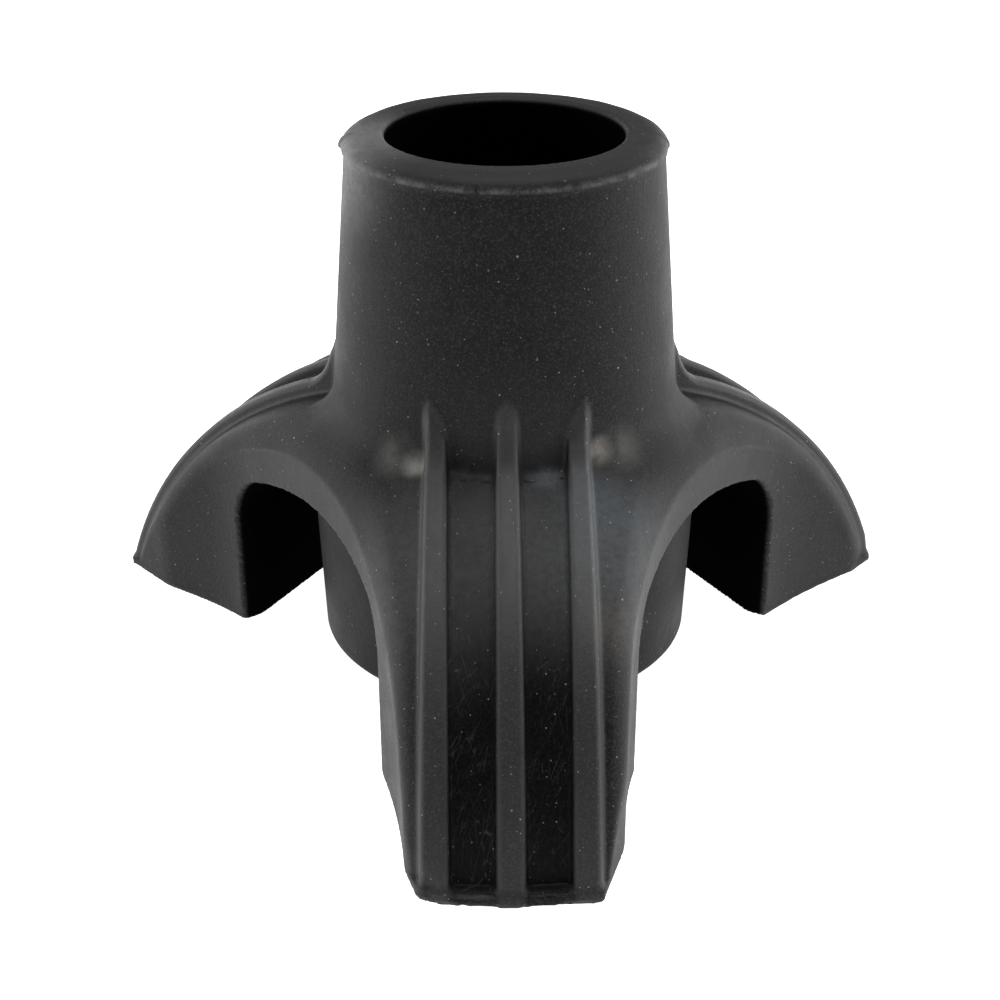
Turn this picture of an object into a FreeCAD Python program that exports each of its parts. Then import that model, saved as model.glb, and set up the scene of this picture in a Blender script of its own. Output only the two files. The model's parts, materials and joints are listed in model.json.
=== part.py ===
import FreeCAD, Part
import math
import os

# A three-footed rubber tip for a walking cane, in millimetres.
#
# One rubber moulding: a tapered sleeve with a blind socket for the cane, a round centre pad under
# it, and three ribbed legs that arch outwards and down to flat soles. A steel washer is moulded in
# at the bottom of the socket, so that the end of the cane's tube can't cut the rubber.
#
# The legs flex at their necks. The moulding is divided there, on a cylinder about each neck's
# flexing axis, into the hub and three legs.
#
# Heights below are above the plane of the three soles. The finished shapes are moved down by
# SEAT_HEIGHT, so the part's origin is the centre of the cane's seat. +Z is up along the cane, and
# the front leg points along -Y. On a leg, "reach" runs out from the cane's axis and "side" across.

# Socket and sleeve
SOCKET_RADIUS = 9.5
SEAT_HEIGHT = 13.5
RIM_HEIGHT = 46.15
RIM_FLAT_RADIUS = 10.97
SLEEVE_TOP_HEIGHT = 44.9
SLEEVE_TOP_RADIUS = 12.75
SLEEVE_TAPER = 0.0813
PARTING_LIP = 0.22
PARTING_LIP_HEIGHT = 0.25
SLEEVE_FILLET = 0.95

# Dome of the three legs
DOME_CENTRE_REACH = 2.5
DOME_CENTRE_HEIGHT = -11.2
CREST_RADIUS = 37.5
RIB_PROUD = 1.2
DOME_RADIUS = CREST_RADIUS - RIB_PROUD
LEG_ANGLES = (270.0, 30.0, 150.0)
LEG_NODES = ("front_leg", "rear_right_leg", "rear_left_leg")

# Curved vertical walls between the legs
WALL_REACH = 18.0
WALL_RADIUS = 59.0
WALL_EDGE_ROUNDING = 1.6

# Hollow under the legs
FOOT_INNER_REACH = 20.8
SLOT_CEILING = 14.0
HOLLOW_ROUNDING = 3.0
ARCH_HALF_WIDTH = 13.7
ARCH_CROWN = 17.0
ARCH_CROWN_RADIUS = 33.0

# Centre pad
PAD_BOTTOM = 2.0
PAD_BOTTOM_RADIUS = 15.85
PAD_TOP_RADIUS = 16.45
PAD_EDGE = 0.8

# Ribs and foot lip
RIB_SPACING = 5.55
RIB_WIDTH = 2.0
RIB_ROUNDING = 0.5
RIB_TIP_HEIGHT = 28.7
RIB_BEND_HEIGHT = 27.1
RIB_ON_SLEEVE = 0.6
RIB_SHOULDER_REACH = 15.0
RIB_FILLET = 2.0
FOOT_RADIUS = 38.1
LIP_HEIGHT = 1.0
LIP_HALF_WIDTH = 7.0

# Tread
TREAD_DEPTH = 0.6
TREAD_WIDTH = 1.2
SOLE_TREAD_RADII = (25.5, 29.0, 32.5)
SOLE_TREAD_HALF_ANGLE = 11.0
PAD_TREAD_RADII = (5.0, 9.0, 13.0)

# Steel washer
WASHER_RADIUS = 10.8
WASHER_HOLE_RADIUS = 3.5
WASHER_THICKNESS = 1.5

# Flexing necks
NECK_REACH = 13.5
NECK_HEIGHT = 18.5
NECK_RADIUS = 7.0
NECK_CLEARANCE = 0.02
NECK_PLANE_REACH = 16.6

BEYOND = 60.0
UP = FreeCAD.Vector(0, 0, 1)
CENTRE = FreeCAD.Vector(0, 0, 0)


def at(reach, height):
    """A point of a profile that is turned about the cane's axis."""
    return FreeCAD.Vector(reach, 0, height)


def turned(edges):
    """The solid that a closed profile sweeps about the cane's axis."""
    return Part.Face(Part.Wire(edges)).revolve(CENTRE, UP, 360)


def ring(inner, outer, low, high):
    """A flat ring about the cane's axis, between two heights."""
    body = Part.makeCylinder(outer, high - low, at(0, low))
    return body.cut(Part.makeCylinder(inner, high - low, at(0, low)))


def facing(shape, angle):
    """The shape, made along +X, turned to face an angle about the cane's axis."""
    copy = shape.copy()
    copy.rotate(CENTRE, UP, angle)
    return copy


def dome_height(radius, reach):
    """Height of the dome of this radius at a reach from the cane's axis."""
    return DOME_CENTRE_HEIGHT + math.sqrt(radius ** 2 - (reach - DOME_CENTRE_REACH) ** 2)


def dome_reach(radius, height):
    """Reach of the dome of this radius at a height."""
    return DOME_CENTRE_REACH + math.sqrt(radius ** 2 - (height - DOME_CENTRE_HEIGHT) ** 2)


def dome_arc(radius, inner, outer):
    """The dome's profile between two reaches, from the outside in."""
    middle = (inner + outer) / 2
    ends = [at(x, dome_height(radius, x)) for x in (outer, middle, inner)]
    return Part.Arc(*ends).toShape()


def wall_cutter():
    """What is left out between two legs: all that lies past the curved wall."""
    axis = FreeCAD.Vector(WALL_REACH + WALL_RADIUS, 0, -1)
    return Part.makeCylinder(WALL_RADIUS, BEYOND, axis)


def between_legs(shape):
    """Copies of a shape made along +X, one in each gap between two legs."""
    return [facing(shape, angle + 180) for angle in LEG_ANGLES]


def dome():
    """The legs' outer surface, with softened edges along the walls between the legs."""
    foot = dome_reach(DOME_RADIUS, 0)
    arc = dome_arc(DOME_RADIUS, 0, foot)
    top = at(0, dome_height(DOME_RADIUS, 0))
    base = Part.LineSegment(CENTRE, at(foot, 0)).toShape()
    axis = Part.LineSegment(top, CENTRE).toShape()
    solid = turned([base, arc, axis]).cut(between_legs(wall_cutter()))
    edges = [e for e in solid.Edges if e.BoundBox.ZLength > LIP_HEIGHT]
    return solid.makeFillet(WALL_EDGE_ROUNDING, edges)


def sleeve_radius(height):
    """Outer radius of the tapered sleeve at a height."""
    return SLEEVE_TOP_RADIUS + SLEEVE_TAPER * (SLEEVE_TOP_HEIGHT - height)


def sleeve():
    """The tapered sleeve, with the rounded rim and its fine parting lip."""
    lip_low = SLEEVE_TOP_HEIGHT
    lip_high = SLEEVE_TOP_HEIGHT + PARTING_LIP_HEIGHT
    lip_radius = SLEEVE_TOP_RADIUS + PARTING_LIP
    root = sleeve_radius(ARCH_CROWN)
    easing = 1 - math.sqrt(0.5)
    bend = at(lip_radius - easing * (lip_radius - RIM_FLAT_RADIUS),
              RIM_HEIGHT - easing * (RIM_HEIGHT - lip_high))
    corners = [at(0, RIM_HEIGHT), at(0, ARCH_CROWN), at(root, ARCH_CROWN),
               at(SLEEVE_TOP_RADIUS, lip_low), at(lip_radius, lip_low), at(lip_radius, lip_high)]
    rounding = Part.Arc(corners[-1], bend, at(RIM_FLAT_RADIUS, RIM_HEIGHT)).toShape()
    straight = Part.makePolygon(corners).Edges
    flat = Part.LineSegment(at(RIM_FLAT_RADIUS, RIM_HEIGHT), corners[0]).toShape()
    return turned(straight + [rounding, flat])


def shell():
    """The dome and the sleeve in one, with the fillet between them."""
    solid = dome().fuse(sleeve()).removeSplitter()
    edges = [e for e in solid.Edges if on_sleeve_foot(e)]
    return solid.makeFillet(SLEEVE_FILLET, edges)


def on_sleeve_foot(edge):
    """Whether an edge is the circle where the sleeve meets the dome."""
    box = edge.BoundBox
    inside = max(box.XMax, box.YMax) < WALL_REACH - 1
    return inside and box.ZLength < 0.01 and ARCH_CROWN + 1 < box.ZMin < RIB_TIP_HEIGHT


def slot():
    """The straight-sided hollow inside the three feet, with a rounded ceiling."""
    corner = 2 * FOOT_INNER_REACH
    points = [FreeCAD.Vector(corner * math.cos(math.radians(a + 180)),
                             corner * math.sin(math.radians(a + 180)), -1) for a in LEG_ANGLES]
    face = Part.Face(Part.makePolygon(points + points[:1]))
    prism = face.extrude(FreeCAD.Vector(0, 0, SLOT_CEILING + 1))
    edges = [e for e in prism.Edges if e.BoundBox.ZMin > SLOT_CEILING / 2]
    return prism.makeFillet(HOLLOW_ROUNDING, edges)


def arch():
    """The arched opening between two feet, run along +X."""
    sagitta = ARCH_CROWN_RADIUS - math.sqrt(ARCH_CROWN_RADIUS ** 2 - ARCH_HALF_WIDTH ** 2)
    low_left = FreeCAD.Vector(0, -ARCH_HALF_WIDTH, -1)
    low_right = FreeCAD.Vector(0, ARCH_HALF_WIDTH, -1)
    left = FreeCAD.Vector(0, -ARCH_HALF_WIDTH, ARCH_CROWN - sagitta)
    right = FreeCAD.Vector(0, ARCH_HALF_WIDTH, ARCH_CROWN - sagitta)
    crown = Part.Arc(left, FreeCAD.Vector(0, 0, ARCH_CROWN), right).toShape()
    sides = Part.makePolygon([right, low_right, low_left, left]).Edges
    tunnel = Part.Face(Part.Wire([crown] + sides)).extrude(FreeCAD.Vector(BEYOND, 0, 0))
    edges = [e for e in tunnel.Edges if e.BoundBox.ZMin > 1 and e.BoundBox.YLength < 1]
    return tunnel.makeFillet(HOLLOW_ROUNDING, edges)


def pad():
    """The round centre pad, which carries the cane if the legs give way."""
    height = ARCH_CROWN + 1 - PAD_BOTTOM
    solid = Part.makeCone(PAD_BOTTOM_RADIUS, PAD_TOP_RADIUS, height, at(0, PAD_BOTTOM))
    edges = [e for e in solid.Edges if e.BoundBox.ZMax < PAD_BOTTOM + 1 and e.Closed]
    return solid.makeFillet(PAD_EDGE, edges)


def crest():
    """The surface of the ribs' tops, turned about the axis and run out on the sleeve."""
    shoulder = at(RIB_SHOULDER_REACH, dome_height(CREST_RADIUS, RIB_SHOULDER_REACH))
    bend = at(sleeve_radius(RIB_BEND_HEIGHT) + RIB_ON_SLEEVE, RIB_BEND_HEIGHT)
    tip = at(sleeve_radius(RIB_TIP_HEIGHT), RIB_TIP_HEIGHT)
    foot = at(dome_reach(CREST_RADIUS, 0), 0)
    arc = dome_arc(CREST_RADIUS, RIB_SHOULDER_REACH, foot.x)
    rest = Part.makePolygon([shoulder, bend, tip, at(0, RIB_TIP_HEIGHT), CENTRE, foot]).Edges
    solid = turned([arc] + rest)
    edges = [e for e in solid.Edges if abs(e.BoundBox.ZMin - shoulder.z) < 0.01
             and e.BoundBox.ZLength < 0.01]
    return solid.makeFillet(RIB_FILLET, edges)


def rib(side):
    """One rib along +X, at this place across the leg, with rounded edges on its top."""
    corner = FreeCAD.Vector(SOCKET_RADIUS, side - RIB_WIDTH / 2, 0)
    blank = Part.makeBox(BEYOND, RIB_WIDTH, BEYOND, corner)
    solid = blank.common(crest())
    edges = []
    for edge in solid.Edges:
        box = edge.BoundBox
        along = box.XLength > 0.5 and box.YLength < 0.01
        on_top = box.ZMax > LIP_HEIGHT and box.ZLength > 0.1
        if along and on_top:
            edges.append(edge)
    return solid.makeFillet(RIB_ROUNDING, edges)


def ribs():
    """Three parallel ribs on every leg."""
    row = [rib(side) for side in (-RIB_SPACING, 0, RIB_SPACING)]
    return [facing(one, angle) for angle in LEG_ANGLES for one in row]


def foot_lips():
    """The low lip across the outside of each foot, level with the ribs' tops."""
    band = ring(dome_reach(DOME_RADIUS, 0) - LIP_HEIGHT, FOOT_RADIUS, 0, LIP_HEIGHT)
    corner = FreeCAD.Vector(0, -LIP_HALF_WIDTH, 0)
    strip = Part.makeBox(BEYOND, 2 * LIP_HALF_WIDTH, LIP_HEIGHT, corner)
    lip = band.common(strip)
    return [facing(lip, angle) for angle in LEG_ANGLES]


def tread():
    """Shallow grooves: concentric rings under the pad, and short arcs under each foot."""
    half = TREAD_WIDTH / 2
    cuts = [ring(r - half, r + half, PAD_BOTTOM, PAD_BOTTOM + TREAD_DEPTH) for r in PAD_TREAD_RADII]
    for radius in SOLE_TREAD_RADII:
        band = ring(radius - half, radius + half, 0, TREAD_DEPTH)
        sector = Part.makeCylinder(BEYOND, TREAD_DEPTH, CENTRE, UP, 2 * SOLE_TREAD_HALF_ANGLE)
        short = band.common(facing(sector, -SOLE_TREAD_HALF_ANGLE))
        cuts += [facing(short, angle) for angle in LEG_ANGLES]
    return cuts


def washer():
    """The steel washer at the bottom of the socket."""
    return ring(WASHER_HOLE_RADIUS, WASHER_RADIUS, SEAT_HEIGHT - WASHER_THICKNESS, SEAT_HEIGHT)


def socket():
    """The blind socket and, below it, the pocket that the washer is moulded into."""
    bore = Part.makeCylinder(SOCKET_RADIUS, BEYOND, at(0, SEAT_HEIGHT))
    low = SEAT_HEIGHT - WASHER_THICKNESS
    return bore.fuse(Part.makeCylinder(WASHER_RADIUS, WASHER_THICKNESS, at(0, low)))


def moulding():
    """The whole rubber moulding in one solid."""
    hollow = slot().fuse([facing(arch(), angle + 180) for angle in LEG_ANGLES])
    solid = shell().fuse(ribs() + foot_lips()).cut(hollow).fuse(pad())
    return solid.removeSplitter().cut([socket()] + tread())


def beyond_neck(radius, angle):
    """The space outside one neck's cylinder, on the leg's side of the neck."""
    start = FreeCAD.Vector(NECK_PLANE_REACH, -BEYOND / 2, -1)
    space = Part.makeBox(BEYOND, BEYOND, BEYOND, start)
    axis_start = FreeCAD.Vector(NECK_REACH, -BEYOND / 2, NECK_HEIGHT)
    space = space.cut(Part.makeCylinder(radius, BEYOND, axis_start, FreeCAD.Vector(0, 1, 0)))
    return facing(space, angle)


def save(node, shape):
    """Write one node, moved so that the cane's seat is at the origin."""
    placed = shape.copy()
    placed.translate(at(0, -SEAT_HEIGHT))
    assert placed.isValid() and len(placed.Solids) == 1, node
    placed.Solids[0].exportStep("parts/" + node + ".step")
    print(node, round(placed.Volume, 1), "mm3")


def main():
    os.makedirs("parts", exist_ok=True)
    whole = moulding()
    save("rubber_hub", whole.cut([beyond_neck(NECK_RADIUS, angle) for angle in LEG_ANGLES]))
    for node, angle in zip(LEG_NODES, LEG_ANGLES):
        save(node, whole.common(beyond_neck(NECK_RADIUS + NECK_CLEARANCE, angle)))
    save("steel_washer", washer())


main()
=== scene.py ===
import json
import math

import bmesh
import bpy
import numpy as np
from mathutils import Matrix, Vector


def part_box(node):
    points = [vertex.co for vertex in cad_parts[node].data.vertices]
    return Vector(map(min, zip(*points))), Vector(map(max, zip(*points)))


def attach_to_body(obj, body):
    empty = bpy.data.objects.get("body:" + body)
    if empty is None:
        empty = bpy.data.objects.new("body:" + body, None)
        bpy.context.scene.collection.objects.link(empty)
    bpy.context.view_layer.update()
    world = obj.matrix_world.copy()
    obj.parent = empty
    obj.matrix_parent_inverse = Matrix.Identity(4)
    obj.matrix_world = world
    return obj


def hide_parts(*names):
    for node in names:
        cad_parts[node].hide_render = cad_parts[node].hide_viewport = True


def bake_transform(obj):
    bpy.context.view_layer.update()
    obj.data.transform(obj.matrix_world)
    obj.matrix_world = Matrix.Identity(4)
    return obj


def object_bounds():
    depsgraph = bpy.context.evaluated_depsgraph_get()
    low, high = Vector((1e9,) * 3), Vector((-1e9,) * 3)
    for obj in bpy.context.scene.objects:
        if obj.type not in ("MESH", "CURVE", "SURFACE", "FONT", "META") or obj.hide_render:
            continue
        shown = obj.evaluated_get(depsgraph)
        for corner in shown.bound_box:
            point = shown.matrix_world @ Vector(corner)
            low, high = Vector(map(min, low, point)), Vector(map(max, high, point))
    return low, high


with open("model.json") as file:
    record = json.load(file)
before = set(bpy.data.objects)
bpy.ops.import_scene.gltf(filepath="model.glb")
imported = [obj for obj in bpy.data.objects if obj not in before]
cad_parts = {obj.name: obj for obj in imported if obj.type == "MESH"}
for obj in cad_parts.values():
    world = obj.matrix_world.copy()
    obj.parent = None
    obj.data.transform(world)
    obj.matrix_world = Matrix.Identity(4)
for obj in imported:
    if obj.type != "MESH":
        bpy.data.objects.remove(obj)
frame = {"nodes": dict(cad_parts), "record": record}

import openvdb
from mathutils import Vector

# A three-footed rubber cane tip. The rubber is one moulding, so its surface is made in one piece
# from a distance field, then cut into a skin for the hub and one for each leg. All sizes are in
# metres. Heights inside the field are above the soles.

cad_low, cad_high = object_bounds()
record = frame["record"]
MOUNTS = {mount["name"]: mount for mount in record["mounts"]}

# Places read from the frame
SOLE_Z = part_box("front_leg")[0].z
RIM_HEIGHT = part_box("rubber_hub")[1].z - SOLE_Z
PAD_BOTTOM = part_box("rubber_hub")[0].z - SOLE_Z
SEAT_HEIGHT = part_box("steel_washer")[1].z - SOLE_Z
WASHER_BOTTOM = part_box("steel_washer")[0].z - SOLE_Z
WASHER_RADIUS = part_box("steel_washer")[1].x
FOOT_RADIUS = -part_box("front_leg")[0].y
SOCKET_RADIUS = MOUNTS["cane_socket"]["dims"]["r_mm"] / 1000

# Sleeve. A lip wave is waves round the rim, phase and size; a burr is place and size
SLEEVE_TOP_HEIGHT = 0.0449
SLEEVE_TOP_RADIUS = 0.01275
SLEEVE_TAPER = 0.0813
SLEEVE_FILLET = 0.0022
LEDGE_FILLET = 0.00095
LEDGE_HEIGHT = 0.02275
LEDGE_DROP = 0.002
LEDGE_RADIUS = 0.0155
SHOULDER_SPAN = (0.006, 0.009)
RIM_ROUNDING_WIDTH = 0.002
RIM_ROUNDING_HEIGHT = 0.00115
MOUTH_ROUNDING = 0.0006
LIP_RADIUS = 0.01297
LIP_SLOPE_HEIGHT = 0.0003
LIP_WAVES = ((9, 0, 0.00003), (23, 1, 0.00002))
LIP_BURRS = ((math.radians(181), 0.0003), (math.radians(-3), 0.00012))
BURR_ANGLE = math.radians(1.5)

# Dome and walls of the legs
DOME_CENTRE_REACH = 0.0025
DOME_CENTRE_HEIGHT = -0.0112
CREST_RADIUS = 0.0375
GROOVE_RADIUS = 0.0363
FLANK_RADIUS = 0.0365
WALL_REACH = 0.018
WALL_RADIUS = 0.059
WALL_ROUNDING = 0.0016
BEVEL_DROP = 0.0013
BEVEL_SLOPE = 0.8
BEVEL_SPAN = (0.017 / 3, 0.017)
LEG_STEP = math.radians(120)
LEGS = {"front_leg": -90, "rear_right_leg": 30, "rear_left_leg": 150}

# Hollow under the legs, and the pad in it
FOOT_INNER_REACH = 0.0208
SLOT_CEILING = 0.014
HOLLOW_ROUNDING = 0.003
ARCH_HALF_WIDTH = 0.0137
ARCH_CROWN = 0.0169
ARCH_CROWN_RADIUS = 0.033
HOLLOW_EDGE = 0.0003
TEAR_SIZE = 0.00006
TEAR_REACH = 0.0004
TEAR_WAVES = ((8600, 0, 3100, 0), (0, 7900, -5200, 2), (9700, 9700, 14300, 4))
PAD_BOTTOM_RADIUS = 0.01585
PAD_TAPER = 0.0375
PAD_EDGE = 0.0007
PAD_FILLET = 0.0012

# Ribs, foot lips and tread
RIB_SPACING = 0.00555
RIB_HALF_WIDTH = 0.00103
RIB_DRAFT = 0.008
RIB_SIDE_DRAFT = 0.12
RIB_ROUNDING = 0.00045
RIB_FOOT_FILLET = 0.0004
RIB_TIP_HEIGHT = 0.0287
RIB_TIP_DROP = 0.0006
RIB_TIP_POINT = 0.35
RIB_TIP_SHIFT = 0.0004
RIB_TIP_SLOPE = 0.5
RIB_TIP_ROUNDING = 0.0004
RIB_ON_SLEEVE = 0.0008
RIB_SHOULDER_FILLET = 0.002
FOOT_LIP_HEIGHT = 0.0008
FOOT_LIP_HALF_WIDTH = 0.009
FOOT_LIP_EDGE = 0.00015
FOOT_TRIM = 0.0004
FOOT_TRIM_HEIGHT = 0.003
FOOT_TRIM_SPAN = (0.0042, 0.0066)
FOOT_SPREAD = 0.0006
FOOT_SPREAD_REACHES = (0.022, 0.034)
FOOT_SPREAD_SIDES = (0, 0.004)
FOOT_CORNER_REACH = 0.0181
FOOT_CORNER_TURN = math.radians(71.8)
FOOT_CORNER_ROUNDING = 0.0002
TREAD_HALF_WIDTH = 0.0006
TREAD_DEPTH = 0.0006
SOLE_TREAD_RADII = (0.0255, 0.029, 0.0325)
SOLE_TREAD_ANGLE = math.radians(11)
PAD_TREAD_RADII = (0.005, 0.009, 0.013)

# Mesh. The field is kept within a band of cells; only the faces that close a cut have more
# corners than a cut quad
CELL = 0.00028
FIELD_BAND = 3.0
CUT_QUAD_CORNERS = 5
SEAM_REACH = 0.0165
EDGE_REACH = 0.0003

# Where the material's masks begin and end, as distances from the surfaces that they follow
GROOVE_FADE = (0.0002, 0.0009)
RIB_FADE = (0.00005, 0.0003)
RIB_DEPTH_FADE = (-0.0006, -0.0002)
HOLLOW_FADE = (0, 0.0004)
HOLLOW_MOUTH_FADE = (-0.0006, -0.0001)
PAD_FADE = (0.0001, 0.0006)
PAD_SHADE = 0.3
BORE_FADE = (0, 0.0002)
WALL_FADE = (0.00005, 0.0002)
# Painted light on the walls between the legs fades out between these distances across from the
# arches' middle
WALL_PAINTED_LIGHT_SPAN = (0.008, 0.019)

# Rubber's look, in millimetres, apart from the relief. Scales are per millimetre, a speck is
# its cells' scale, its radius in cells and its share of them, and rim heights are above the
# socket's seat. Pale grain and roughness are given outside the grooves and in them, and the
# specular level off the ribs and on them. A patch is centre, reach, colour and amount: most
# patches are painted light or painted highlights, one is brownish dust.
GRAIN_SCALE = 5.5
CLOUD_SCALE = 0.3
PATCH_SPAN = (0.35, 0.65)
WORN_SPAN = (0.12, 0.6)
WORN_AMOUNT = 0.5
GRAIN_PALE_SPAN = (0.45, 0.72)
GRAIN_PALE_AMOUNTS = (0.45, 0.12)
ROUGHNESSES = (0.56, 0.42)
SPECULAR_LEVELS = (0.12, 0.25)
RUBBER_RELIEF = 0.00004
RUBBER_DARK = (0.0028, 0.0028, 0.0032, 1)
RUBBER_GREY = (0.0055, 0.0055, 0.006, 1)
RUBBER_GROOVE = (0.003, 0.003, 0.0033, 1)
RUBBER_RIB = (0.017, 0.017, 0.0175, 1)
# Painted light: a paler grey for where light falls on the walls between the legs and on the rim's
# top
PAINTED_LIGHT_GREY = (0.03, 0.03, 0.031, 1)
WALL_PAINTED_LIGHT_AMOUNT = 0.85
RUBBER_PALE = (0.07, 0.07, 0.07, 1)
# Painted shade: near-black for the hollows under the legs and for the bore
INSIDE_PAINTED_SHADE = (0.0015, 0.0015, 0.0015, 1)
# Painted highlight: a pale band along the rim's rounding between these heights, broken up by noise
RIM_HIGHLIGHT = (0.12, 0.12, 0.11, 1)
RIM_HIGHLIGHT_LOW = (31.3, 31.6)
RIM_HIGHLIGHT_HIGH = (31.6, 32.1)
RIM_HIGHLIGHT_AMOUNT = 0.7
# Painted reflection: the rim's top face made paler above these heights
RIM_SHEEN_HEIGHTS = (31.8, 32.5)
RIM_SHEEN_AMOUNT = 0.9
SCRATCH_GREY = (0.2, 0.2, 0.2, 1)
SCRATCH_CELLS = (0.2, 2.4, 0.2)
SCRATCH_WIDTH = 0.03
SCRATCH_AMOUNT = 0.18
SCRATCH_TURNS = (0.55, 0.8, -0.25)
SPECKS = ((3.1, 0.2, 0.25), (1.3, 0.12, 0.3))
SPECK_AMOUNT = 0.45
DUST_WHITE = (0.6, 0.58, 0.54, 1)
# Paler over the front leg's middle, then painted light on its right and left flanks
DUST_AND_LIGHT_PATCHES = (((0.0, -20.0, 9.0), 14.0, (0.05, 0.05, 0.05, 1), 0.55),
                ((7.8, -21.0, 6.0), 13.0, (0.075, 0.077, 0.08, 1), 0.85),
                ((-7.8, -23.0, 5.0), 13.0, (0.055, 0.055, 0.055, 1), 0.75),
                # Painted light: a bluish lit patch on the front leg's right flank
                ((7.6, -17.5, 8.2), 4.5, (0.08, 0.11, 0.13, 1), 0.3),
                # Painted highlights where the sleeve meets the front leg's right and left shoulders
                ((7.3, -12.7, 10.6), 1.6, (0.5, 0.46, 0.42, 1), 0.45),
                ((9.4, -12.0, 10.6), 2.6, (0.12, 0.12, 0.11, 1), 0.5),
                ((-7.2, -13.4, 9.8), 1.6, (0.5, 0.5, 0.46, 1), 0.4),
                ((-9.0, -12.6, 10.2), 2.6, (0.12, 0.12, 0.11, 1), 0.5),
                # Painted highlight on the ledge at the top of the right groove
                ((3.0, -14.9, 9.0), 1.7, (0.14, 0.16, 0.17, 1), 0.5),
                # Brownish dust on the front leg's right side
                ((8.4, -27.0, 3.6), 4.0, (0.2, 0.16, 0.12, 1), 0.2),
                # Painted highlight on the rim's left edge
                ((-12.5, -2.0, 32.4), 10.0, (0.2, 0.2, 0.2, 1), 0.7))

# Zinc-plated steel
ZINC_DARK = (0.42, 0.43, 0.45, 1)
ZINC_PALE = (0.62, 0.62, 0.6, 1)
GRIME = (0.2, 0.17, 0.13, 1)
ZINC_RELIEF = 0.00002

# Studio: lights as name, place, target, size and power
FLOOR_HALF = 3.0
FLOOR_COLOUR = (0.86, 0.86, 0.86, 1)
FLOOR_GLOW = 0.9
SKY_FRONT = 0.05
SKY_BACK = 0.15
SKY_SPAN = (-0.6, 0.8)
LIGHTS = (("left_box", (-0.4, 0.1, 0.12), (0.0, 0.0, 0.02), (0.3, 0.16), 0.9),
          ("right_box", (0.4, 0.1, 0.12), (0.0, 0.0, 0.02), (0.3, 0.16), 1.2),
          ("left_rim", (-0.25, 0.42, 0.07), (0.0, 0.0, 0.03), (0.2, 0.14), 0.3),
          ("right_rim", (0.25, 0.42, 0.07), (0.0, 0.0, 0.03), (0.2, 0.14), 0.3),
          ("top_box", (0.0, -0.03, 0.55), (0.0, 0.0, 0.0), (0.3, 0.2), 2.0))
EXPOSURE = 0.25

# Camera: its distance and height are from the part's axis and the soles
CAMERA_LENS = 64.77
CAMERA_SHIFT = -0.0047
CAMERA_DISTANCE = 0.13967
CAMERA_HEIGHT = 0.08514
CAMERA_PITCH = math.radians(27.235)
CAMERA_YAW = -0.0127


def join(a, b, rounding):
    """Both solids, with a fillet of this size in the corner between them."""
    curve = np.hypot(np.maximum(rounding - a, 0), np.maximum(rounding - b, 0))
    return np.maximum(np.minimum(a, b), rounding) - curve


def meet(a, b, rounding):
    """What two solids share, with the edge between them rounded by this much."""
    return -join(-a, -b, rounding)


def cut(a, b, rounding):
    """The first solid without the second, with the new edge rounded."""
    return -join(-a, b, rounding)


def ease(low, high, value):
    """A smooth step from 0 at the low value to 1 at the high one."""
    share = np.clip((value - low) / (high - low), 0, 1)
    return share * share * (3 - 2 * share)


def fold(x, y):
    """How far out along the nearest leg each point is, and how far across it, signed."""
    turn = np.arctan2(x, -y)
    turn = np.mod(turn + LEG_STEP / 2, LEG_STEP) - LEG_STEP / 2
    out = np.hypot(x, y)
    return out * np.cos(turn), out * np.sin(turn)


def midway(reach, side):
    """The same place along the line midway between two legs, and across it."""
    return reach / 2 + side * math.sqrt(0.75), reach * math.sqrt(0.75) - side / 2


def leg_wall(along, across):
    """The scooped wall between two legs, an arc when seen from above."""
    return WALL_RADIUS - np.hypot(along - WALL_REACH - WALL_RADIUS, across)


def dome(out, height, radius):
    """The ball-like surface of revolution that the legs and ribs follow."""
    return np.hypot(out - DOME_CENTRE_REACH, height - DOME_CENTRE_HEIGHT) - radius


def sleeve_radius(height):
    """Outer radius of the tapered sleeve at a height."""
    return SLEEVE_TOP_RADIUS + SLEEVE_TAPER * (SLEEVE_TOP_HEIGHT - height)


def lip_radius(turn):
    """Radius of the fine moulding lip under the rim, uneven and with two small burrs."""
    radius = LIP_RADIUS
    for count, phase, size in LIP_WAVES:
        radius = radius + size * np.sin(count * turn + phase)
    for place, size in LIP_BURRS:
        gap = np.mod(turn - place + math.pi, 2 * math.pi) - math.pi
        radius = radius + size * np.exp(-(gap / BURR_ANGLE) ** 2)
    return radius


def sleeve(out, turn, height):
    """The tapered sleeve with its rounded rim and the fine lip under it."""
    lip = ease(SLEEVE_TOP_HEIGHT - LIP_SLOPE_HEIGHT, SLEEVE_TOP_HEIGHT, height)
    cone = sleeve_radius(height)
    side = (out - cone - (lip_radius(turn) - cone) * lip) / math.hypot(1, SLEEVE_TAPER)
    squash = RIM_ROUNDING_HEIGHT / RIM_ROUNDING_WIDTH
    rounded = meet(side * squash, height - RIM_HEIGHT, RIM_ROUNDING_HEIGHT)
    return np.where(height > SLEEVE_TOP_HEIGHT - RIM_ROUNDING_WIDTH, rounded, side)


def hollow(reach, across, height):
    """The space under the dome: straight inside the feet and arched between them."""
    slot = meet(reach - FOOT_INNER_REACH, height - SLOT_CEILING, HOLLOW_ROUNDING)
    centre = ARCH_CROWN - ARCH_CROWN_RADIUS
    crown = np.hypot(across, height - centre) - ARCH_CROWN_RADIUS
    arch = meet(np.abs(across) - ARCH_HALF_WIDTH, crown, HOLLOW_ROUNDING)
    return join(slot, arch, HOLLOW_EDGE)


def pad(out, height):
    """The round centre pad."""
    wall = out - PAD_BOTTOM_RADIUS - PAD_TAPER * (height - PAD_BOTTOM)
    return np.maximum(meet(wall, PAD_BOTTOM - height, PAD_EDGE), height - ARCH_CROWN)


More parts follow.
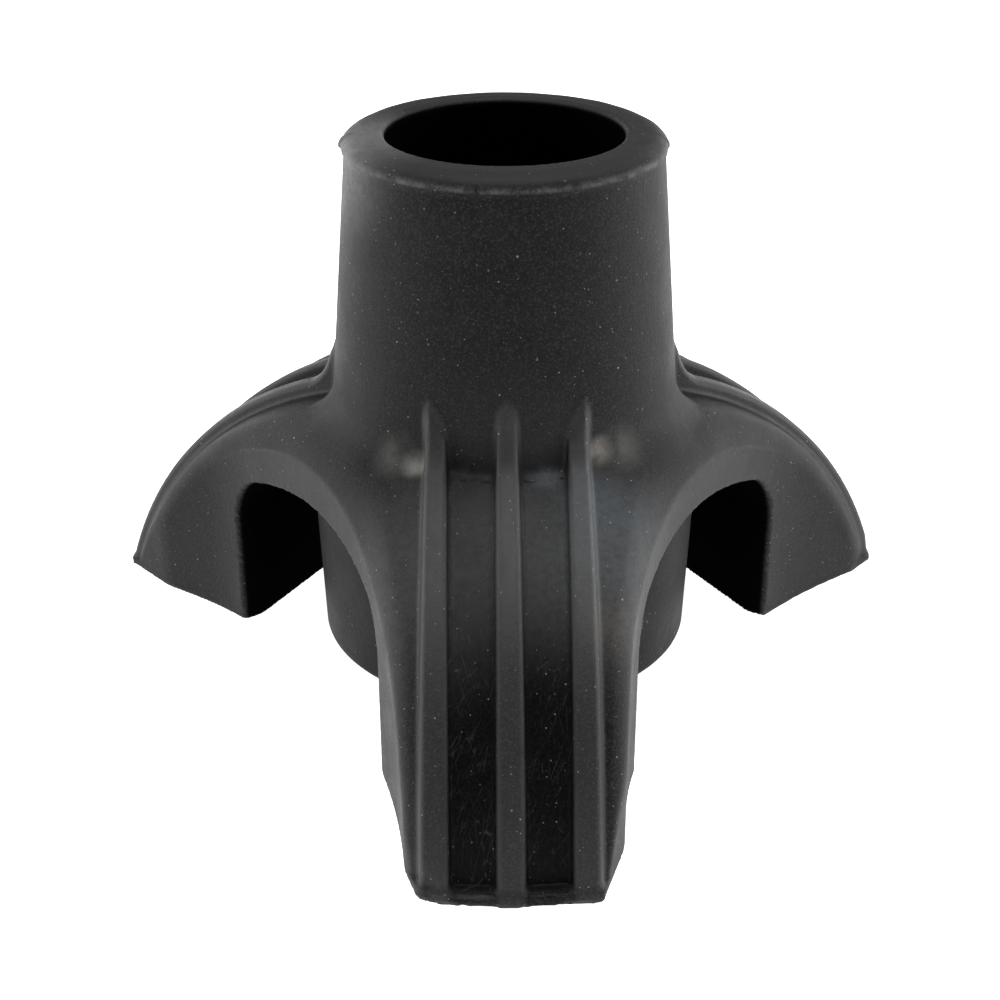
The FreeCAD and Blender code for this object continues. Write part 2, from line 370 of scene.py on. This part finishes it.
def bevel(top, wall, across):
    """The slope above a leg's wall: a crisp edge between the legs that fades towards the feet."""
    slope = BEVEL_SLOPE * (1 - ease(*BEVEL_SPAN, np.abs(across)))
    return (wall + (top + BEVEL_DROP) * slope) / np.hypot(1, slope)


def rib(out, reach, side, place, height):
    """One rib: proud of the dome, then thin on the sleeve, where it ends in a slanted point."""
    crest = dome(out, height, CREST_RADIUS)
    half = RIB_HALF_WIDTH - RIB_DRAFT * (FOOT_RADIUS - reach)
    half = half + RIB_SIDE_DRAFT * np.clip(-crest, 0, CREST_RADIUS - GROOVE_RADIUS)
    radius = sleeve_radius(RIB_TIP_HEIGHT)
    tip = (radius + math.sqrt(radius ** 2 - place ** 2)) / 2
    peak, top_height = place, RIB_TIP_HEIGHT
    if place:
        peak, top_height = place + RIB_TIP_SHIFT, RIB_TIP_HEIGHT - RIB_TIP_DROP
    slant = (reach + out) / 2 - tip + RIB_TIP_SLOPE * (height - top_height)
    slant = slant + RIB_TIP_POINT * np.abs(side - peak)
    on_sleeve = meet(out - sleeve_radius(height) - RIB_ON_SLEEVE,
                     slant / math.hypot(1, RIB_TIP_SLOPE), RIB_TIP_ROUNDING)
    top = join(crest, on_sleeve, RIB_SHOULDER_FILLET)
    return meet(np.abs(side - place) - half, top, RIB_ROUNDING)


def foot_trim(offset, height):
    """How far the foot's outer end is trimmed back near the sole, at its clockwise corner."""
    trim = FOOT_TRIM * ease(*FOOT_TRIM_SPAN, -offset)
    return trim * (1 - ease(0, FOOT_TRIM_HEIGHT, height))


def foot_lip(out, side, height):
    """The low lip across the outside of a foot, flush with the ribs."""
    band = meet(side - FOOT_LIP_HALF_WIDTH, height - FOOT_LIP_HEIGHT, FOOT_LIP_EDGE)
    band = meet(band, dome(out, height, CREST_RADIUS), FOOT_LIP_EDGE)
    return np.maximum(band, FOOT_RADIUS - 4 * FOOT_LIP_HEIGHT - out)


def tread(out, side, height):
    """Grooves under the pad and the feet."""
    rings = np.min([np.abs(out - radius) for radius in PAD_TREAD_RADII], axis=0)
    arcs = np.min([np.abs(out - radius) for radius in SOLE_TREAD_RADII], axis=0)
    under_pad = np.maximum(rings - TREAD_HALF_WIDTH, height - PAD_BOTTOM - TREAD_DEPTH)
    under_foot = np.maximum(arcs - TREAD_HALF_WIDTH, side - out * math.sin(SOLE_TREAD_ANGLE))
    return np.minimum(under_pad, np.maximum(under_foot, height - TREAD_DEPTH))


def ripple(x, y, z):
    """A fine uneven wave, from -1 to 1, for the torn look of trimmed rubber edges."""
    waves = [np.sin(a * x + b * y + c * z + phase) for a, b, c, phase in TEAR_WAVES]
    return sum(waves) / len(waves)


def rubber(x, y, z):
    """Distance from the rubber's surface, negative inside it."""
    reach, offset = fold(x, y)
    side = np.abs(offset)
    out = np.hypot(x, y)
    along, across = midway(reach, side)
    height = z - SOLE_Z
    spread = ease(*FOOT_SPREAD_REACHES, reach) * ease(*FOOT_SPREAD_SIDES, offset)
    wall = leg_wall(along, across) - FOOT_SPREAD * spread
    in_groove = np.clip((RIB_SPACING - side) / RIB_HALF_WIDTH, 0, 1)
    level = FLANK_RADIUS + (GROOVE_RADIUS - FLANK_RADIUS) * in_groove
    foot_out = out + foot_trim(offset, height)
    top = dome(foot_out, height, level)
    body = np.maximum(meet(top, bevel(top, wall, across), WALL_ROUNDING), wall)
    body = join(body, np.maximum(foot_lip(foot_out, side, height), wall), FOOT_LIP_EDGE)
    corner = reach * math.cos(FOOT_CORNER_TURN) + side * math.sin(FOOT_CORNER_TURN)
    body = meet(body, corner - FOOT_CORNER_REACH, FOOT_CORNER_ROUNDING)
    tube = sleeve(out, np.arctan2(y, x), height)
    body = join(body, tube, SLEEVE_FILLET * ease(*SHOULDER_SPAN, side))
    ledge_height = LEDGE_HEIGHT - LEDGE_DROP * ease(*SHOULDER_SPAN, side)
    ledge = join(tube, height - ledge_height, LEDGE_FILLET)
    body = np.minimum(body, np.maximum(ledge, out - LEDGE_RADIUS))
    for place in (0, RIB_SPACING):
        body = join(body, rib(foot_out, reach, side, place, height), RIB_FOOT_FILLET)
    torn = TEAR_SIZE * ripple(x, y, z) * np.exp(-(wall / TEAR_REACH) ** 2)
    body = cut(body, hollow(reach, across, height) + torn, HOLLOW_EDGE)
    body = meet(body, -height, HOLLOW_EDGE / 2)
    body = join(body, pad(out, height), PAD_FILLET)
    body = cut(body, tread(out, side, height), TREAD_DEPTH / 4)
    bore = np.maximum(out - SOCKET_RADIUS, SEAT_HEIGHT - height)
    body = cut(body, bore, MOUTH_ROUNDING)
    pocket = np.maximum(np.maximum(out - WASHER_RADIUS, height - SEAT_HEIGHT),
                        WASHER_BOTTOM - height)
    return np.maximum(body, -pocket)


def slope_of(points):
    """The field at the points and its gradient there, by small steps along each axis."""
    step = CELL / 10
    gradient = np.empty_like(points)
    for axis in range(3):
        ahead, behind = points.copy(), points.copy()
        ahead[:, axis] += step
        behind[:, axis] -= step
        gradient[:, axis] = (rubber(*ahead.T) - rubber(*behind.T)) / (2 * step)
    return rubber(*points.T), gradient


def settle(points, rounds=4):
    """Moves the points onto the surface, along the field's gradient."""
    for _ in range(rounds):
        value, gradient = slope_of(points)
        size = np.maximum((gradient ** 2).sum(1), 0.1)
        shift = np.clip(value / size, -CELL, CELL)
        points = points - gradient * shift[:, None]
    return points


def surface():
    """The rubber's surface as points and quads."""
    margin = 4 * CELL
    low, high = np.array(cad_low) - margin, np.array(cad_high) + margin
    axes = [np.arange(a, b, CELL) for a, b in zip(low, high)]
    x, y, z = np.meshgrid(*axes, indexing="ij", sparse=True)
    field = np.clip(rubber(x, y, z) / CELL, -FIELD_BAND, FIELD_BAND).astype(np.float32)
    grid = openvdb.FloatGrid(FIELD_BAND)
    grid.copyFromArray(field)
    points, quads = grid.convertToQuads(0.0)
    return settle(points.astype(float) * CELL + low), quads.astype(np.int32)


def mesh_object(name, points, quads):
    """A mesh object made from arrays."""
    mesh = bpy.data.meshes.new(name)
    mesh.from_pydata(points.tolist(), [], quads.tolist())
    mesh.validate()
    item = bpy.data.objects.new(name, mesh)
    bpy.context.scene.collection.objects.link(item)
    return item


def trim(work, place, direction, keep_outer):
    """Cuts a bmesh at a plane, drops one side, and closes the cut with a flat face."""
    everything = work.verts[:] + work.edges[:] + work.faces[:]
    bmesh.ops.bisect_plane(work, geom=everything, dist=CELL / 1000, plane_co=place,
                           plane_no=direction, clear_inner=keep_outer,
                           clear_outer=not keep_outer)
    rim = [edge for edge in work.edges if edge.is_boundary]
    bmesh.ops.holes_fill(work, edges=rim, sides=0)


def direction_of(angle):
    """Unit vector that points along a leg."""
    return Vector((math.cos(math.radians(angle)), math.sin(math.radians(angle)), 0))


def attach(mesh, name, kind, field, values):
    """Stores one value for each of the mesh's points."""
    store = mesh.attributes.new(name, kind, "POINT")
    store.data.foreach_set(field, np.asarray(values, np.float32).ravel())


def curvature(points):
    """How sharply the surface bends at each point: positive on edges, negative in corners."""
    total = -6 * rubber(*points.T)
    for axis in range(3):
        for step in (-EDGE_REACH, EDGE_REACH):
            moved = points.copy()
            moved[:, axis] += step
            total += rubber(*moved.T)
    return np.clip(total / EDGE_REACH / 2, -1, 1)


def zones(points):
    """How much each point is in a groove, on a rib, inside a hollow or on a wall, from 0 to 1."""
    x, y, z = points.T
    reach, offset = fold(x, y)
    side, out, height = np.abs(offset), np.hypot(x, y), z - SOLE_Z
    above_floor = dome(out, height, GROOVE_RADIUS)
    groove = np.where(side < RIB_SPACING, 1 - ease(*GROOVE_FADE, np.abs(above_floor)), 0)
    rib_gap = np.min([np.abs(rib(out, reach, side, place, height))
                      for place in (0, RIB_SPACING)], axis=0)
    along, across = midway(reach, side)
    space = hollow(reach, across, height)
    wall = leg_wall(along, across)
    # Painted shade inside the hollows, lighter on the pad, and in the bore
    under = (1 - ease(*HOLLOW_FADE, space)) * (1 - ease(*HOLLOW_MOUTH_FADE, wall))
    under = under * (PAD_SHADE + (1 - PAD_SHADE) * ease(*PAD_FADE, pad(out, height)))
    # Painted light where the walls between the legs catch the light, strongest near the arches'
    # middle
    painted_light_wall = 1 - ease(*WALL_FADE, np.abs(wall))
    painted_light_wall = painted_light_wall * (1 - ease(*WALL_PAINTED_LIGHT_SPAN, np.abs(across)))
    in_bore = 1 - ease(*BORE_FADE, out - SOCKET_RADIUS)
    on_rib = (1 - ease(*RIB_FADE, rib_gap)) * ease(*RIB_DEPTH_FADE, above_floor)
    return groove, on_rib, np.maximum(under, in_bore), painted_light_wall


def finish_skin(item):
    """The field's own normals, flat at the hidden cuts, and what the material reads."""
    mesh = item.data
    points = np.empty(len(mesh.vertices) * 3)
    mesh.vertices.foreach_get("co", points)
    points = points.reshape(-1, 3)
    _, normal = slope_of(points)
    normal /= np.maximum(np.linalg.norm(normal, axis=1), 1e-9)[:, None]
    corners = np.empty(len(mesh.loops), np.int32)
    mesh.loops.foreach_get("vertex_index", corners)
    normals = normal[corners]
    for face in mesh.polygons:
        if face.loop_total > CUT_QUAD_CORNERS:
            normals[face.loop_start:face.loop_start + face.loop_total] = face.normal
    mesh.shade_smooth()
    mesh.normals_split_custom_set(normals.tolist())
    reach, offset = fold(points[:, 0], points[:, 1])
    attach(mesh, "rest_place", "FLOAT_VECTOR", "vector", points * 1000)
    leg_place = np.stack([reach, offset, points[:, 2]], 1)
    attach(mesh, "leg_place", "FLOAT_VECTOR", "vector", leg_place * 1000)
    attach(mesh, "edge", "FLOAT", "value", curvature(points))
    for name, values in zip(("groove", "rib", "inside", "wall"), zones(points)):
        attach(mesh, name, "FLOAT", "value", values)


def rubber_skins():
    """The rubber surface cut into the hub's skin and three legs' skins."""
    whole = mesh_object("whole_rubber", *surface())
    skins = {}
    for name, angle in LEGS.items():
        leg = bpy.data.objects.new(name + "_skin", bpy.data.meshes.new(name + "_skin"))
        bpy.context.scene.collection.objects.link(leg)
        work = bmesh.new()
        work.from_mesh(whole.data)
        trim(work, direction_of(angle) * SEAM_REACH, direction_of(angle), True)
        work.to_mesh(leg.data)
        work.free()
        skins[name] = leg
    hub = bpy.data.objects.new("hub_skin", bpy.data.meshes.new("hub_skin"))
    bpy.context.scene.collection.objects.link(hub)
    work = bmesh.new()
    work.from_mesh(whole.data)
    for angle in LEGS.values():
        trim(work, direction_of(angle) * SEAM_REACH, direction_of(angle), False)
    work.to_mesh(hub.data)
    work.free()
    bpy.data.objects.remove(whole)
    for item in [hub, *skins.values()]:
        finish_skin(item)
    return hub, skins


def add(tree, kind, inputs=None, **settings):
    """A new node with its settings, and its inputs given as values or as other nodes' outputs."""
    item = tree.nodes.new(kind)
    for name, value in settings.items():
        setattr(item, name, value)
    for name, value in (inputs or {}).items():
        if isinstance(value, bpy.types.NodeSocket):
            tree.links.new(value, item.inputs[name])
        else:
            item.inputs[name].default_value = value
    return item


def calc(tree, operation, first, second=0.0, third=0.0, clamp=False):
    """A math node's result."""
    values = {0: first, 1: second, 2: third}
    item = add(tree, "ShaderNodeMath", values, operation=operation, use_clamp=clamp)
    return item.outputs[0]


def ramp(tree, value, low, high, start=0.0, end=1.0):
    """A smooth change from start to end as the value goes from low to high."""
    values = {"Value": value, "From Min": low, "From Max": high, "To Min": start, "To Max": end}
    item = add(tree, "ShaderNodeMapRange", values, interpolation_type="SMOOTHSTEP")
    return item.outputs["Result"]


def noise(tree, place, scale, detail=2.0, roughness=0.5):
    """Noise from 0 to 1. The place is in millimetres, so the scale is in waves per millimetre."""
    values = {"Vector": place, "Scale": scale, "Detail": detail, "Roughness": roughness}
    return add(tree, "ShaderNodeTexNoise", values).outputs[0]


def stretch(tree, place, factors, turn=0.0):
    """The place turned about its last axis and scaled by a factor along each axis."""
    turned = add(tree, "ShaderNodeVectorRotate", {"Vector": place, "Angle": turn},
                 rotation_type="Z_AXIS")
    scaled = add(tree, "ShaderNodeVectorMath", {0: turned.outputs[0], 1: factors},
                 operation="MULTIPLY")
    return scaled.outputs[0]


def specks(tree, place, scale, size, share):
    """Round specks: their cells' scale, their radius in cells, and the share of cells with one."""
    cells = add(tree, "ShaderNodeTexVoronoi", {"Vector": place, "Scale": scale})
    parts = add(tree, "ShaderNodeSeparateColor", {"Color": cells.outputs["Color"]})
    radius = calc(tree, "MULTIPLY", parts.outputs["Green"], size)
    inside = calc(tree, "LESS_THAN", cells.outputs["Distance"], radius)
    chosen = calc(tree, "LESS_THAN", parts.outputs["Red"], share)
    strength = calc(tree, "MULTIPLY", inside, chosen)
    return calc(tree, "MULTIPLY", strength, parts.outputs["Blue"])


def hairlines(tree, place, factors, turn, width):
    """Fine scratches: broken stretches of the edges of long thin cells."""
    long_cells = stretch(tree, place, factors, turn)
    cells = add(tree, "ShaderNodeTexVoronoi", {"Vector": long_cells, "Scale": 1.0},
                feature="DISTANCE_TO_EDGE")
    line = ramp(tree, cells.outputs["Distance"], 0.0, width, 1.0, 0.0)
    return calc(tree, "MULTIPLY", line, ramp(tree, noise(tree, long_cells, 1.3, 1.0), 0.45, 0.6))


def near(tree, place, centre, reach):
    """1 at a point of the part, given in millimetres, falling to 0 at a reach from it."""
    gap = add(tree, "ShaderNodeVectorMath", {0: place, 1: centre}, operation="DISTANCE")
    return ramp(tree, gap.outputs["Value"], 0.0, reach, 1.0, 0.0)


def tint(tree, colour, other, amount):
    """The colour mixed towards another one."""
    values = {"Factor": amount, "A": colour, "B": other}
    item = tree.nodes.new("ShaderNodeMix")
    item.data_type = "RGBA"
    for name, value in values.items():
        kind = "VALUE" if name == "Factor" else "RGBA"
        socket = next(s for s in item.inputs if s.name == name and s.type == kind)
        if isinstance(value, bpy.types.NodeSocket):
            tree.links.new(value, socket)
        else:
            socket.default_value = value
    return next(s for s in item.outputs if s.type == "RGBA")


def attribute(tree, name, output):
    """A value stored on the mesh."""
    return add(tree, "ShaderNodeAttribute", attribute_name=name).outputs[output]


def rubber_material():
    """Black moulded rubber: satin grain, dust, worn edges and smoother, scratched grooves, with
    painted light on the walls, the rim and the front leg, and painted shade in the hollows and the
    bore.
    """
    material = bpy.data.materials.new("black_rubber")
    material.use_nodes = True
    tree = material.node_tree
    shader = tree.nodes["Principled BSDF"]
    place = attribute(tree, "rest_place", "Vector")
    along_leg = attribute(tree, "leg_place", "Vector")
    edge, groove, rib_top, inside, wall = [
        attribute(tree, name, "Fac") for name in ("edge", "groove", "rib", "inside", "wall")]

    grain = noise(tree, place, GRAIN_SCALE, 3.0, 0.8)
    cloud = noise(tree, place, CLOUD_SCALE, 4.0, 0.6)
    patchy = ramp(tree, cloud, *PATCH_SPAN)
    worn = calc(tree, "MULTIPLY", ramp(tree, edge, *WORN_SPAN), patchy)
    dust = calc(tree, "MAXIMUM", *[specks(tree, place, *kind) for kind in SPECKS])
    scratch = 0.0
    for turn in SCRATCH_TURNS:
        lines = hairlines(tree, along_leg, SCRATCH_CELLS, turn, SCRATCH_WIDTH)
        scratch = calc(tree, "MAXIMUM", lines, scratch)
    scratch = calc(tree, "MULTIPLY", scratch, ramp(tree, groove, 0.0, 1.0, 0.08, 1.0))
    scratch = calc(tree, "MULTIPLY", scratch, patchy)
    scratch = calc(tree, "MULTIPLY", scratch, ramp(tree, inside, 0.0, 1.0, 1.0, 0.0))

    colour = tint(tree, RUBBER_DARK, RUBBER_GREY, patchy)
    colour = tint(tree, colour, RUBBER_RIB, rib_top)
    # Painted light on the walls between the legs
    colour = tint(tree, colour, PAINTED_LIGHT_GREY, calc(tree, "MULTIPLY", wall, WALL_PAINTED_LIGHT_AMOUNT))
    colour = tint(tree, colour, RUBBER_GROOVE, groove)
    lifted = calc(tree, "MULTIPLY", ramp(tree, grain, *GRAIN_PALE_SPAN),
                  ramp(tree, groove, 0.0, 1.0, *GRAIN_PALE_AMOUNTS))
    colour = tint(tree, colour, RUBBER_PALE, lifted)
    colour = tint(tree, colour, RUBBER_PALE, calc(tree, "MULTIPLY", worn, WORN_AMOUNT))
    height_mm = add(tree, "ShaderNodeSeparateXYZ", {"Vector": place}).outputs["Z"]
    # Painted reflection on the rim's top face
    rim_sheen = ramp(tree, height_mm, *RIM_SHEEN_HEIGHTS)
    colour = tint(tree, colour, PAINTED_LIGHT_GREY, calc(tree, "MULTIPLY", rim_sheen, RIM_SHEEN_AMOUNT))
    # Painted highlight along the rim's rounding
    rim = calc(tree, "MULTIPLY", ramp(tree, height_mm, *RIM_HIGHLIGHT_LOW),
               ramp(tree, height_mm, *RIM_HIGHLIGHT_HIGH, 1.0, 0.0))
    rim = calc(tree, "MULTIPLY", rim, ramp(tree, noise(tree, place, 0.7, 5.0, 0.8), 0.3, 0.7))
    colour = tint(tree, colour, RIM_HIGHLIGHT, calc(tree, "MULTIPLY", rim, RIM_HIGHLIGHT_AMOUNT))
    blotches = ramp(tree, noise(tree, place, 1.6, 4.0, 0.7), 0.3, 0.65, 0.65, 1.0)
    # Patches of dust, of paler grey, of painted light and of painted highlights
    for centre, reach, patch_colour, amount in DUST_AND_LIGHT_PATCHES:
        patch = calc(tree, "MULTIPLY", near(tree, place, centre, reach), blotches)
        colour = tint(tree, colour, patch_colour, calc(tree, "MULTIPLY", patch, amount))
    colour = tint(tree, colour, SCRATCH_GREY, calc(tree, "MULTIPLY", scratch, SCRATCH_AMOUNT))
    colour = tint(tree, colour, DUST_WHITE, calc(tree, "MULTIPLY", dust, SPECK_AMOUNT))
    # Painted shade in the hollows and the bore
    colour = tint(tree, colour, INSIDE_PAINTED_SHADE, inside)
    tree.links.new(colour, shader.inputs["Base Color"])

    rough = ramp(tree, groove, 0.0, 1.0, *ROUGHNESSES)
    rough = calc(tree, "ADD", rough, ramp(tree, cloud, 0.2, 0.8, -0.06, 0.06))
    rough = calc(tree, "ADD", rough, ramp(tree, grain, 0.3, 0.8, -0.1, 0.14))
    rough = calc(tree, "ADD", rough, calc(tree, "MULTIPLY", dust, 0.4), clamp=True)
    tree.links.new(rough, shader.inputs["Roughness"])

    gloss = ramp(tree, rib_top, 0.0, 1.0, *SPECULAR_LEVELS)
    gloss = calc(tree, "MULTIPLY", gloss, ramp(tree, groove, 0.0, 1.0, 1.0, 0.5))
    # The hollows and the bore also lose their reflection, along with their painted shade
    gloss = calc(tree, "MULTIPLY", gloss, ramp(tree, inside, 0.0, 1.0, 1.0, 0.0))
    tree.links.new(gloss, shader.inputs["Specular IOR Level"])

    height = calc(tree, "ADD", grain, calc(tree, "MULTIPLY", noise(tree, place, 1.4, 2.0), 0.8))
    height = calc(tree, "SUBTRACT", height, calc(tree, "MULTIPLY", scratch, 0.6))
    height = calc(tree, "ADD", height, dust)
    values = {"Height": height, "Strength": 1.0, "Distance": RUBBER_RELIEF}
    bump = add(tree, "ShaderNodeBump", values)
    tree.links.new(bump.outputs["Normal"], shader.inputs["Normal"])
    return material


def washer_material():
    """Zinc-plated steel: turned rings, cloudy plating and a little grime."""
    material = bpy.data.materials.new("zinc_steel")
    material.use_nodes = True
    tree = material.node_tree
    shader = tree.nodes["Principled BSDF"]
    raw = add(tree, "ShaderNodeTexCoord").outputs["Object"]
    place = stretch(tree, raw, (1000, 1000, 1000))
    flat = add(tree, "ShaderNodeVectorMath", {0: place, 1: (1, 1, 0)}, operation="MULTIPLY")
    radius = add(tree, "ShaderNodeVectorMath", {0: flat.outputs[0]}, operation="LENGTH")
    outward = add(tree, "ShaderNodeCombineXYZ", {"X": radius.outputs["Value"]})
    rings = noise(tree, outward.outputs[0], 9.0, 3.0, 0.7)
    cloud = noise(tree, place, 0.5, 5.0, 0.65)
    grain = noise(tree, place, 7.0, 2.0, 0.6)
    colour = tint(tree, ZINC_DARK, ZINC_PALE, ramp(tree, cloud, 0.3, 0.7))
    colour = tint(tree, colour, GRIME, ramp(tree, cloud, 0.58, 0.75, 0.0, 0.7))
    tree.links.new(colour, shader.inputs["Base Color"])
    shader.inputs["Metallic"].default_value = 1.0
    rough = calc(tree, "ADD", ramp(tree, rings, 0.3, 0.7, 0.3, 0.42),
                 ramp(tree, cloud, 0.5, 0.75, 0.0, 0.2))
    tree.links.new(rough, shader.inputs["Roughness"])
    height = calc(tree, "ADD", rings, calc(tree, "MULTIPLY", grain, 0.4))
    bump = add(tree, "ShaderNodeBump", {"Height": height, "Strength": 0.4, "Distance": ZINC_RELIEF})
    tree.links.new(bump.outputs["Normal"], shader.inputs["Normal"])
    return material


def area_light(name, place, target, size, power):
    """A soft rectangular light aimed at a point."""
    data = bpy.data.lights.new(name, "AREA")
    data.shape = "RECTANGLE"
    data.size, data.size_y = size
    data.energy = power
    light = bpy.data.objects.new(name, data)
    light.location = place
    light.rotation_euler = (Vector(target) - Vector(place)).to_track_quat("-Z", "Y").to_euler()
    bpy.context.scene.collection.objects.link(light)


def floor():
    """A plain pale floor at the soles."""
    mesh = bpy.data.meshes.new("floor")
    corners = [(-FLOOR_HALF, -FLOOR_HALF, SOLE_Z), (FLOOR_HALF, -FLOOR_HALF, SOLE_Z),
               (FLOOR_HALF, FLOOR_HALF, SOLE_Z), (-FLOOR_HALF, FLOOR_HALF, SOLE_Z)]
    mesh.from_pydata(corners, [], [(0, 1, 2, 3)])
    item = bpy.data.objects.new("floor", mesh)
    bpy.context.scene.collection.objects.link(item)
    material = bpy.data.materials.new("floor")
    material.use_nodes = True
    shader = material.node_tree.nodes["Principled BSDF"]
    shader.inputs["Base Color"].default_value = FLOOR_COLOUR
    shader.inputs["Roughness"].default_value = 0.9
    shader.inputs["Specular IOR Level"].default_value = 0.0
    shader.inputs["Emission Color"].default_value = (1, 1, 1, 1)
    shader.inputs["Emission Strength"].default_value = FLOOR_GLOW
    mesh.materials.append(material)


def sky():
    """Soft light from all round, brighter behind the object than in front of it."""
    world = bpy.data.worlds.new("world")
    world.use_nodes = True
    tree = world.node_tree
    direction = add(tree, "ShaderNodeTexCoord").outputs["Generated"]
    parts = add(tree, "ShaderNodeSeparateXYZ", {"Vector": direction})
    level = ramp(tree, parts.outputs["Y"], *SKY_SPAN, SKY_FRONT, SKY_BACK)
    back = tree.nodes["Background"]
    tree.links.new(level, back.inputs["Strength"])
    back.inputs["Color"].default_value = (1, 1, 1, 1)
    bpy.context.scene.world = world


def stage():
    """The floor, the lights and how the picture is developed."""
    floor()
    sky()
    for name, place, target, size, power in LIGHTS:
        area_light(name, place, target, size, power)
    bpy.context.scene.view_settings.view_transform = "Standard"
    bpy.context.scene.view_settings.exposure = EXPOSURE


def camera():
    """The camera: low in front, looking down a little over 27 degrees."""
    data = bpy.data.cameras.new("camera")
    data.sensor_width = 36
    data.lens = CAMERA_LENS
    data.shift_x = CAMERA_SHIFT
    data.clip_start = 0.005
    item = bpy.data.objects.new("camera", data)
    item.location = (CAMERA_DISTANCE * math.sin(CAMERA_YAW),
                     -CAMERA_DISTANCE * math.cos(CAMERA_YAW), SOLE_Z + CAMERA_HEIGHT)
    item.rotation_euler = (math.pi / 2 - CAMERA_PITCH, 0, CAMERA_YAW)
    bpy.context.scene.collection.objects.link(item)
    bpy.context.scene.camera = item


camera()
stage()
hub_skin, leg_skins = rubber_skins()
washer_look = washer_material()
for place in frame["nodes"]["steel_washer"].material_slots:
    place.material = washer_look
rubber_look = rubber_material()
for item in [hub_skin, *leg_skins.values()]:
    item.data.materials.append(rubber_look)
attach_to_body(hub_skin, "hub")
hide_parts("rubber_hub")
for name, item in leg_skins.items():
    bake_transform(item)
    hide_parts(name)
